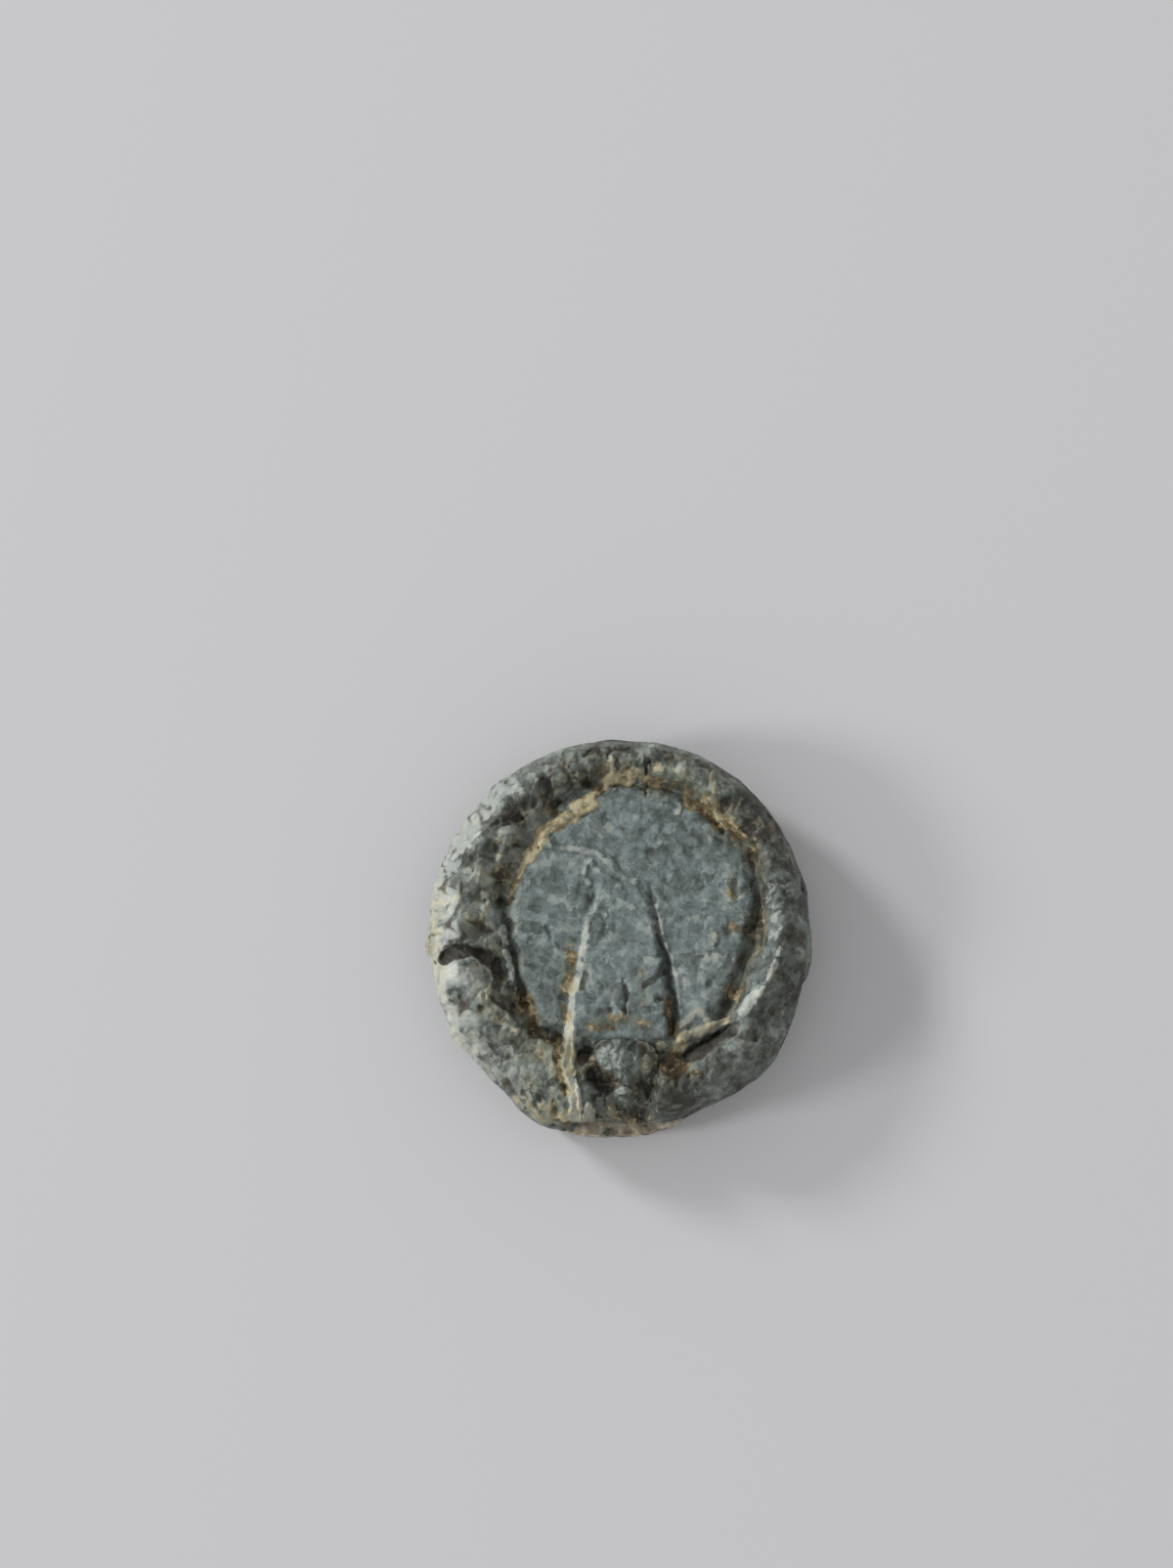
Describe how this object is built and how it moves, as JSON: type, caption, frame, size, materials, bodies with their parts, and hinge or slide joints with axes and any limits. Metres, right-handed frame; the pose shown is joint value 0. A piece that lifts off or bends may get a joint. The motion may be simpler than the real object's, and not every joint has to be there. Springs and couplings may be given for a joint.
{
  "type": "lead seal",
  "caption": "Small round pressed lead seal with a raised rim, a sunken field and a roofed cord tunnel, its leaves held shut by a rivet.",
  "frame": {"origin": "on the flat back, in the middle of the seal's box", "axes": "+Z out of the struck face, +Y from the cord tunnel's mouth to the far edge, +X to the right of the struck face"},
  "size_m": [0.0168, 0.0176, 0.0043],
  "materials": {
    "patinated_lead": "matte",
    "earthy_lead": "matte",
    "hammered_lead": "matte"
  },
  "bodies": {
    "root": {"front_leaf": "patinated_lead", "back_leaf": "earthy_lead", "closing_rivet": "hammered_lead"}
  },
  "joints": []
}
